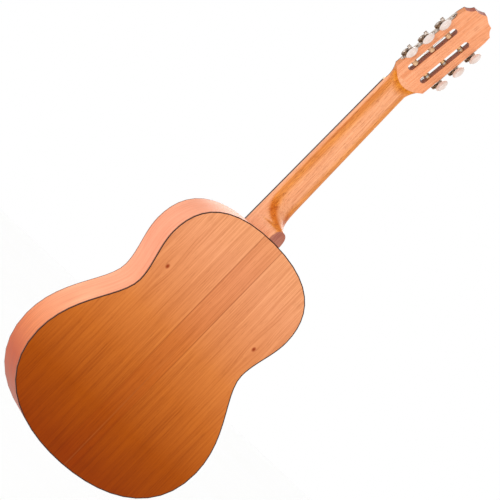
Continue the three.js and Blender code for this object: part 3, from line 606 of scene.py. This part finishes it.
# End grain at the crown is redder.
along_grain = put(
    tree,
    "ShaderNodeVectorMath",
    {0: facing, 1: (0, math.sin(head_tilt), math.cos(head_tilt))},
    operation="DOT_PRODUCT",
).outputs[1]
end_grain = put(tree, "ShaderNodeMapRange", {0: along_grain, 1: 0.2, 2: 0.4, 3: 0.0, 4: 1.0}).outputs[0]
at_crown = put(tree, "ShaderNodeMath", {0: head_xyz[2], 1: crown_starts}, operation="GREATER_THAN").outputs[0]
end_grain = put(tree, "ShaderNodeMath", {0: end_grain, 1: at_crown}, operation="MULTIPLY").outputs[0]
colour = put(tree, "ShaderNodeMix", {0: end_grain, 6: colour, 7: linear("#94452f")}, **covering).outputs[2]
# Painted shade: the walls of the two slots are painted darker red, for the shade inside them.
from_slot = put(tree, "ShaderNodeMath", {0: off_centre, 1: slot_middle}, operation="SUBTRACT").outputs[0]
from_slot = put(tree, "ShaderNodeMath", {0: from_slot}, operation="ABSOLUTE").outputs[0]
slot_shade = put(tree, "ShaderNodeMath", {0: from_slot, 1: slot_reach}, operation="LESS_THAN").outputs[0]
in_depth = put(tree, "ShaderNodeMath", {0: head_xyz[1], 1: slot_depth}, operation="LESS_THAN").outputs[0]
slot_shade = put(tree, "ShaderNodeMath", {0: slot_shade, 1: in_depth}, operation="MULTIPLY").outputs[0]
slot_shade = put(tree, "ShaderNodeMath", {0: slot_shade, 1: is_head}, operation="MULTIPLY").outputs[0]
below_crown = put(tree, "ShaderNodeMath", {0: head_xyz[2], 1: crown_starts}, operation="LESS_THAN").outputs[0]
slot_shade = put(tree, "ShaderNodeMath", {0: slot_shade, 1: below_crown}, operation="MULTIPLY").outputs[0]
colour = put(tree, "ShaderNodeMix", {0: slot_shade, 6: colour, 7: linear("#a4552e")}, **covering).outputs[2]
pore_share = put(tree, "ShaderNodeMapRange", {0: pores, 1: 0.56, 2: 0.68, 3: 0.0, 4: 0.5}).outputs[0]
# Pores are drawn darker inside the painted shade.
more = put(tree, "ShaderNodeMath", {0: painted_shade, 1: 0.8, 2: 0.8}, operation="MULTIPLY_ADD").outputs[0]
pore_share = put(tree, "ShaderNodeMath", {0: pore_share, 1: more}, operation="MULTIPLY").outputs[0]
colour = put(
    tree, "ShaderNodeMix", {0: pore_share, 6: colour, 7: linear("#7a4c30")}, **multiplied
).outputs[2]
tree.links.new(colour, shader.inputs["Base Color"])
sheen = put(tree, "ShaderNodeMapRange", {0: fibres, 3: 0.34, 4: 0.5}).outputs[0]
tree.links.new(sheen, shader.inputs["Roughness"])
relief = put(tree, "ShaderNodeBump", {"Height": pores, "Strength": 0.2, "Distance": 0.0002})
tree.links.new(relief.outputs[0], shader.inputs["Normal"])
finished("neck", neck_wood, 0.6, 40)

# -------------------------------------------- the heel's cap
# A thin tongue of red-brown wood, glued to the foot of the heel and planed level with the back.
# Lacquered like the neck, but close-grained, so that it shines evenly.
cap_wood, tree, shader = new_finish("heel_cap_wood", Roughness=0.45, Specular_IOR_Level=0.3)
fibres = streaks(tree, place_in_mm(tree), 1.2, 1.2, 26, 3.3, 3.0)
colour = put(
    tree, "ShaderNodeValToRGB", {0: fibres}, stops=[(0.32, "#8c4a3a"), (0.66, "#ac6a52")]
).outputs[0]
tree.links.new(colour, shader.inputs["Base Color"])
finished("heel_cap", cap_wood, 0.4)

# -------------------------- head facing, bridge, fingerboard
# All three are planed from rosewood and oiled, not lacquered: dark, with darker streaks and long open
# pores, and brighter along the fibres than between them. The nut and saddle that stand in them are bone.


def rosewood(name, grain):
    """Oiled rosewood whose fibres have that width, depth and length in millimetres."""
    material, tree, shader = new_finish(name, Specular_IOR_Level=0.35)
    place = place_in_mm(tree)
    fine = streaks(tree, place, *grain, 4.0, 3.0)
    wide = streaks(tree, place, *(6 * g if g < 5 else 4 * g for g in grain), 9.0)
    both = put(tree, "ShaderNodeMath", {0: fine, 1: wide}, operation="ADD").outputs[0]
    both = put(tree, "ShaderNodeMath", {0: both, 1: 0.5}, operation="MULTIPLY").outputs[0]
    colour = put(
        tree,
        "ShaderNodeValToRGB",
        {0: both},
        stops=[(0.36, "#1f100c"), (0.64, "#5b3424"), (0.5, "#3c2018")],
    ).outputs[0]
    tree.links.new(colour, shader.inputs["Base Color"])
    sheen = put(tree, "ShaderNodeMapRange", {0: fine, 3: 0.34, 4: 0.6}).outputs[0]
    tree.links.new(sheen, shader.inputs["Roughness"])
    relief = put(tree, "ShaderNodeBump", {"Height": fine, "Strength": 0.3, "Distance": 0.0002})
    tree.links.new(relief.outputs[0], shader.inputs["Normal"])
    return material


finished("head_veneer", rosewood("head_rosewood", (1.2, 1.2, 50)), 0.3)
finished("bridge", rosewood("bridge_rosewood", (50, 1.2, 1.2)), 0.7, 40)

# Bleached, polished bone: cream, with a soft gloss, and light sinks a little way into it.
bone, tree, shader = new_finish("polished_bone", Roughness=0.3, Subsurface_Weight=0.15)
shader.inputs["Subsurface Radius"].default_value = (0.002, 0.0015, 0.001)
mottle = streaks(tree, place_in_mm(tree), 2.5, 2.5, 2.5, 6.0, 3.0)
colour = put(tree, "ShaderNodeValToRGB", {0: mottle}, stops=[(0.3, "#d9cfae"), (0.7, "#ece5cc")]).outputs[0]
tree.links.new(colour, shader.inputs["Base Color"])
for z in (149.5, 157.0):
    strip = box_piece("tie_strip", (-40.8, -9.35, z), (40.8, -8.4, z + 1.5), 0.2, bone)
    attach(strip, "guitar")
finished("saddle", bone, 0.9)
finished("nut", bone, 0.8)


def shown(name, mesh_or_curve, material, body, stands_for=None):
    """Places a piece in the scene, on the body that carries it."""
    mesh_or_curve.materials.append(material)
    piece = bpy.data.objects.new(name, mesh_or_curve)
    scene.collection.objects.link(piece)
    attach(piece, body)
    if stands_for:
        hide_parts(stands_for)
    return piece


def lofted(name, rings, smooth=True):
    """A closed skin through rings of points, all with the same number of points, capped at both ends."""
    shape = bmesh.new()
    made = [[shape.verts.new(p) for p in ring] for ring in rings]
    count = len(made[0])
    for near, far in zip(made, made[1:]):
        for i in range(count):
            j = (i + 1) % count
            shape.faces.new((near[i], near[j], far[j], far[i])).smooth = smooth
    shape.faces.new(made[0][::-1])
    shape.faces.new(made[-1])
    bmesh.ops.recalc_face_normals(shape, faces=shape.faces)
    mesh = bpy.data.meshes.new(name)
    shape.to_mesh(mesh)
    shape.free()
    return mesh


# The board tapers towards the nut and has a slight round across it; its end over the soundboard is square.
scale_start, scale_length = 817, 650
board_half_at_nut, board_gain, board_length = 24, 3, 325
fret_radius = 1.1


def board_half_width(z):
    """Half the board's width at that height: it grows by 3 mm over the length of the neck."""
    return board_half_at_nut + board_gain * (scale_start - z) / board_length


def board_section(z):
    """The board's outline there: flat underneath, square at the sides and slightly round on top."""
    half = board_half_width(z)
    top = [(half * (1 - i / 6), -5.85 - 0.15 * (1 - abs(1 - i / 6) ** 2)) for i in range(13)]
    return [at(x, y, z) for x, y in [(-half, -0.1), (half, -0.1), (half, -5.4), *top, (-half, -5.4)]]


board_mesh = lofted(
    "fingerboard", [board_section(381.5 + 435.4 * i / 24) for i in range(25)], smooth=False
)
board = shown(
    "fingerboard",
    board_mesh,
    rosewood("fingerboard_rosewood", (1.0, 1.0, 60)),
    "guitar",
    "fingerboard",
)
easing = board.modifiers.new("eased_edges", "BEVEL")
easing.width = 0.0004
easing.segments = 2

# Nineteen frets of nickel silver, pressed into saw cuts: each is a low half-round bead with its ends filed
# to a slope. The metal is bright where it was polished and duller in patches where it is worn.
nickel, tree, shader = new_finish("worn_nickel", Metallic=1.0)
wear = streaks(tree, place_in_mm(tree), 5, 5, 5, 1.5, 4.0)
colour = put(tree, "ShaderNodeValToRGB", {0: wear}, stops=[(0.35, "#a08d7e"), (0.65, "#e2d5ca")]).outputs[0]
tree.links.new(colour, shader.inputs["Base Color"])
sheen = put(tree, "ShaderNodeMapRange", {0: wear, 3: 0.2, 4: 0.42}).outputs[0]
tree.links.new(sheen, shader.inputs["Roughness"])
for number in range(1, 20):
    z = scale_start - scale_length * (1 - 2 ** (-number / 12))
    half = board_half_width(z) - 0.5
    rings = []
    for side, share in ((-1, 1.0), (-1, 0.96), (1, 0.96), (1, 1.0)):
        height = fret_radius if share < 1 else 0.25
        arc = [math.pi * i / 10 for i in range(11)]
        rings.append(
            [
                at(side * half * share, -5.9 - height * math.sin(a), z + fret_radius * math.cos(a))
                for a in arc
            ]
        )
    shown(f"fret_{number}", lofted("fret", rings), nickel, "guitar")

# ----------------------------------------- the machine heads
# One pressed, plated strip of steel is screwed to each edge of the head. Bent lugs hold three steel worms
# upright; each worm drives a brass gear screwed to the end of a string barrel. The buttons are moulded in
# pearly plastic.


def turned(name, axis_point, axis, profile, around=32):
    """A piece turned on a lathe: profile lists (along, radius) in millimetres from axis_point along axis."""
    across = axis.orthogonal().normalized()
    other = axis.cross(across)
    rings = []
    for along, radius in profile:
        middle = axis_point + axis * along / 1000
        turns = [2 * math.pi * i / around for i in range(around)]
        rings.append(
            [middle + (across * math.cos(t) + other * math.sin(t)) * radius / 1000 for t in turns]
        )
    return lofted(name, rings)


def slotted_screw(name, face, outward, radius, body):
    """A domed screw head with a straight slot, sitting on a face."""
    dome = [(0, radius), (0.25 * radius, radius), (0.5 * radius, 0.8 * radius), (0.62 * radius, 0.4 * radius)]
    mesh = turned(name, face, outward, [*dome, (0.66 * radius, 0.05)], 20)
    head = shown(name, mesh, nickel, body)
    across = outward.orthogonal().normalized()
    cutter = bmesh.new()
    bmesh.ops.create_cube(cutter, size=1)
    sizes = Vector((2.4 * radius, 0.3 * radius, 0.5 * radius)) / 1000
    turn = Matrix((across, outward.cross(across), outward)).transposed()
    for corner in cutter.verts:
        local = Vector(c * s for c, s in zip(corner.co, sizes)) + Vector((0, 0, 0.62 * radius / 1000))
        corner.co = face + turn @ local
    cutter_mesh = bpy.data.meshes.new("screw_slot")
    cutter.to_mesh(cutter_mesh)
    cutter.free()
    blade = bpy.data.objects.new("screw_slot", cutter_mesh)
    scene.collection.objects.link(blade)
    carve = head.modifiers.new("slot", "BOOLEAN")
    carve.operation = "DIFFERENCE"
    carve.object = blade
    bpy.context.view_layer.update()
    cut_mesh = bpy.data.meshes.new_from_object(
        head.evaluated_get(bpy.context.evaluated_depsgraph_get())
    )
    head.modifiers.clear()
    head.data = cut_mesh
    bpy.data.objects.remove(blade)


# Cut brass, tarnished between its teeth: brown gold, with duller patches.
brass, tree, shader = new_finish("cut_brass", Metallic=1.0)
wear = streaks(tree, place_in_mm(tree), 4, 4, 4, 2.5, 4.0)
colour = put(tree, "ShaderNodeValToRGB", {0: wear}, stops=[(0.35, "#5a4232"), (0.65, "#a08062")]).outputs[0]
tree.links.new(colour, shader.inputs["Base Color"])
sheen = put(tree, "ShaderNodeMapRange", {0: wear, 3: 0.22, 4: 0.42}).outputs[0]
tree.links.new(sheen, shader.inputs["Roughness"])

# Swirled plastic under a clear skin: milky, with a small wet highlight.
pearl, tree, shader = new_finish("pearly_plastic", Roughness=0.22, Coat_Weight=0.4, Coat_Roughness=0.1)
swirls = streaks(tree, place_in_mm(tree), 9, 9, 7, 8.8, 1.0)
colour = put(
    tree, "ShaderNodeValToRGB", {0: swirls}, stops=[(0.3, "#cdb9ae"), (0.7, "#dccdc6"), (0.5, "#d4c2b9")]
).outputs[0]
tree.links.new(colour, shader.inputs["Base Color"])

# Moulded hard plastic: opaque cream with a soft highlight.
cream, tree, shader = new_finish("cream_barrel_plastic", Roughness=0.35)
haze = streaks(tree, place_in_mm(tree), 6, 6, 6, 3.7, 2.0)
colour = put(tree, "ShaderNodeValToRGB", {0: haze}, stops=[(0.3, "#deb184"), (0.7, "#ebc79c")]).outputs[0]
tree.links.new(colour, shader.inputs["Base Color"])

# Thin brass-toned plating, rubbed by the strings: warm, and only partly metallic to the eye.
gilt, tree, shader = new_finish("gilt_barrel", Metallic=0.7, Roughness=0.35)
haze = streaks(tree, place_in_mm(tree), 5, 5, 5, 4.7, 2.0)
colour = put(tree, "ShaderNodeValToRGB", {0: haze}, stops=[(0.3, "#cda06a"), (0.7, "#eecb98")]).outputs[0]
tree.links.new(colour, shader.inputs["Base Color"])

# Drawn nylon: nearly clear, so that it looks milky and takes light into itself.
nylon, tree, shader = new_finish("clear_nylon", Roughness=0.25, Subsurface_Weight=0.2)
haze = streaks(tree, place_in_mm(tree), 4, 4, 30, 6.1, 2.0)
colour = put(tree, "ShaderNodeValToRGB", {0: haze}, stops=[(0.3, "#e2d6c0"), (0.7, "#efe6d4")]).outputs[0]
tree.links.new(colour, shader.inputs["Base Color"])

# Silver-plated wire round floss: a bright, finely ribbed metal. It is wound 4 turns to the millimetre, and
# drawn one turn to the millimetre so that it shows.
wound, tree, shader = new_finish("silvered_winding", Metallic=1.0, Roughness=0.3)
xyz = put(tree, "ShaderNodeSeparateXYZ", {0: place_in_mm(tree)}).outputs
coil = put(tree, "ShaderNodeMath", {0: xyz[2], 1: 2 * math.pi}, operation="MULTIPLY").outputs[0]
coil = put(tree, "ShaderNodeMath", {0: coil}, operation="SINE").outputs[0]
# Painted shade and highlight: the colour is darker in the grooves between turns and lighter on the crests, in
# step with the bump.
colour = put(
    tree,
    "ShaderNodeValToRGB",
    {0: put(tree, "ShaderNodeMapRange", {0: coil, 1: -1.0, 2: 1.0}).outputs[0]},
    stops=[(0.1, "#8f8a82"), (0.6, "#cdc8bf")],
).outputs[0]
tree.links.new(colour, shader.inputs["Base Color"])
relief = put(tree, "ShaderNodeBump", {"Height": coil, "Strength": 0.3, "Distance": 0.0001})
tree.links.new(relief.outputs[0], shader.inputs["Normal"])

roller_places = (53, 88, 123)
roller_depth = 10
barrel_waist = 4.5
worm_offset = 10
gear_middle = 39.7
worm_pitch = 2 * math.pi * 7.1 / 14  # a gear of 14 teeth on a pitch radius of 7.1
worm_start, worm_length = 4.6, 10.4
worm_core, thread_height = 1.95, 1.6
button_start, button_length = 21.5, 16
button_half_thickness, button_half_length = 4.8, 12
string_radii = (0.36, 0.42, 0.52, 0.38, 0.46, 0.56)
string_reach = (18.0, 16.0, 15.6)  # where each rank's string meets its barrel, from the centre line
into_head = (on_head(0, 0, 1) - on_head(0, 0, 0)).normalized()

for side, side_name in ((1, "treble"), (-1, "bass")):
    outward = Vector((side, 0, 0))
    finished(f"machine_plate_{side_name}", nickel, 0.25)
    for i, s in enumerate((43.8, 73.5, 108.5, 143.5)):
        face = on_head(side * 35.3, s, 9.6)
        slotted_screw(f"plate_screw_{side_name}_{i + 1}", face, outward, 2.2, "guitar")
    # A turned finial of three beads stands on the crown end of the plate.
    finial = [(0, 0.8), (0.2, 2.2), (1.0, 2.6), (1.8, 2.0), (2.0, 1.0)]
    for i, (s, size) in enumerate(((150.5, 1.0), (155.6, 0.72))):
        profile = [(along * size, radius * size) for along, radius in finial]
        mesh = turned("plate_bead", on_head(side * 35.2, s, 9.6), outward, profile, 20)
        shown(f"plate_bead_{side_name}_{i + 1}", mesh, nickel, "guitar")

    for rank, s in enumerate(roller_places):
        number = rank + 1 if side > 0 else 6 - rank
        barrel, knob = f"barrel_{number}", f"knob_{number}"
        axis_point = on_head(0, s, roller_depth)

        # The barrel is a spool: a fat inner end, a narrower waist for the string and a shoulder by the plate.
        spool = [(3.9, 3.2), (4.3, 3.9), (10.5, 3.9), (10.55, 4.6), (10.9, 5.0), (12.2, 5.0), (12.8, 4.7)]
        spool += [(13.3, 4.5), (30.6, 4.5), (31.3, 4.7), (31.8, 5.0), (33.4, 5.0), (33.7, 4.7)]
        mesh = turned(f"roller_{number}", axis_point, outward, spool)
        finish = cream if side > 0 else gilt
        shown(f"roller_{number}", mesh, finish, barrel, f"roller_{number}")
        axle = [(33.0, 2.3), (42.4, 2.3), (42.7, 2.0)]
        mesh = turned(f"roller_axle_{number}", axis_point, outward, axle, 20)
        shown(f"roller_axle_{number}", mesh, nickel, barrel)
        finished(f"gear_{number}", brass, 0.12, 30, barrel)
        slotted_screw(
            f"gear_screw_{number}", on_head(side * 42.1, s, roller_depth), outward, 3.0, barrel
        )

        # The string's spare length is wound on beside the point where it arrives: the outer strings, which
        # arrive by the slot's outer wall, wind inwards and the others outwards.
        radius = string_radii[number - 1]
        pitch = 2 * radius + 0.06
        start_x = side * string_reach[rank]
        wound_towards = -side if rank == 0 else side
        turns = 3
        steps = 24
        curve = bpy.data.curves.new(f"string_wraps_{number}", "CURVE")
        curve.dimensions = "3D"
        curve.bevel_depth = radius / 1000
        curve.bevel_resolution = 3
        line = curve.splines.new("POLY")
        line.points.add(turns * steps)
        for i in range(turns * steps + 1):
            turn = 2 * math.pi * i / steps
            r = barrel_waist + radius
            wrap = on_head(
                start_x + wound_towards * pitch * i / steps,
                s + r * math.sin(turn),
                roller_depth - r * math.cos(turn),
            )
            line.points[i].co = (*wrap, 1)
        shown(
            f"string_wraps_{number}",
            curve,
            cream if number < 4 else wound,
            barrel,
        )

        # The worm: a rolled thread on a plain shaft, with a collar above the upper lug.
        worm_axis = on_head(side * gear_middle, s + worm_offset, 0)
        rings = []
        for step in range(61):
            depth = worm_start + worm_length * step / 60
            ring = []
            for j in range(24):
                turn = 2 * math.pi * j / 24
                phase = (depth - roller_depth) / worm_pitch - (turn - math.pi) / (2 * math.pi)
                from_crest = abs(phase - round(phase))
                r = worm_core + thread_height * min(1, max(0, (0.3 - from_crest) / 0.2))
                ring.append(
                    on_head(
                        side * (gear_middle + r * math.sin(turn)),
                        s + worm_offset + r * math.cos(turn),
                        depth,
                    )
                )
            rings.append(ring)
        shown(f"worm_{number}", lofted("worm", rings), nickel, knob, f"worm_{number}")
        shaft = [(1.6, 1.2), (1.9, 1.5), (17.2, 1.5), (17.3, 2.2), (17.6, 2.6), (20.8, 2.6), (21.2, 2.2)]
        shaft += [(21.3, 1.9), (24.0, 1.5)]
        mesh = turned(f"worm_shaft_{number}", worm_axis, into_head, shaft, 24)
        shown(f"worm_shaft_{number}", mesh, nickel, knob)

        # The button is a flat oval, pinched where it meets the shaft and thinner towards its rim.
        rings = []
        outline = [(0, 0.3), (0.02, 0.42), (0.08, 0.62), (0.2, 0.85), (0.36, 0.98), (0.52, 1.0)]
        outline += [(0.68, 0.95), (0.82, 0.82), (0.92, 0.65), (0.98, 0.45), (1.0, 0.25)]
        for share, size in outline:
            ring = []
            for j in range(32):
                turn = 2 * math.pi * j / 32
                ring.append(
                    on_head(
                        side * (gear_middle + button_half_thickness * math.sqrt(size) * math.sin(turn)),
                        s + worm_offset + button_half_length * size * math.cos(turn),
                        button_start + button_length * share,
                    )
                )
            rings.append(ring)
        shown(
            f"button_{number}", lofted("button", rings), pearl, knob, f"button_{number}"
        )

# ----------------------------------------------- the strings
# Three plain nylon trebles and three basses of silvered wire wound on floss. Each is tied in a loop round the
# bridge's tie block, crosses the saddle and the nut, and dives into the head to its barrel.
bridge_spacing, nut_spacing = 11.6, 7.8
saddle_top, nut_top, tie_hole, tie_block_top = -12.1, -7.3, -5.3, -9.4
for number in range(1, 7):
    radius = string_radii[number - 1]
    rank = min(number, 7 - number) - 1
    bridge_x, nut_x = (3.5 - number) * bridge_spacing, (3.5 - number) * nut_spacing
    saddle_y, nut_y = saddle_top - radius, nut_top - radius
    at_barrel = on_head(
        math.copysign(string_reach[rank], nut_x), roller_places[rank], roller_depth - barrel_waist - radius
    )
    points = [
        at(bridge_x, tie_hole, 149.0),
        at(bridge_x, tie_hole, 158.6),
        at(bridge_x, saddle_y + 0.8, 163.6),
        at(bridge_x, saddle_y, 165.5),
        at(bridge_x, saddle_y + 0.1, 167.6),
        at(nut_x, nut_y, 817.2),
        at(nut_x, nut_y + 0.05, 820.6),
        at_barrel,
    ]
    over_block = tie_block_top - radius
    loop = [
        at(bridge_x, tie_hole, 149.0),
        at(bridge_x, -7.3, 148.6),
        at(bridge_x, over_block, 149.2),
        at(bridge_x + 0.6, over_block, 157.8),
        at(bridge_x + 0.8, -7.4, 159.4),
        at(bridge_x - 1.4, -8.0, 159.6),
        at(bridge_x - 2.4, over_block, 157.6),
        at(bridge_x - 3.4, over_block, 150.4),
        at(bridge_x - 3.6, over_block + 0.6, 147.5),
    ]
    curve = bpy.data.curves.new(f"string_{number}", "CURVE")
    curve.dimensions = "3D"
    curve.bevel_depth = radius / 1000
    curve.bevel_resolution = 4
    curve.use_fill_caps = True
    for path in (points, loop):
        line = curve.splines.new("POLY")
        line.points.add(len(path) - 1)
        for i, p in enumerate(path):
            line.points[i].co = (*p, 1)
    shown(
        f"string_{number}",
        curve,
        nylon if number < 4 else wound,
        "guitar",
        f"string_{number}",
    )
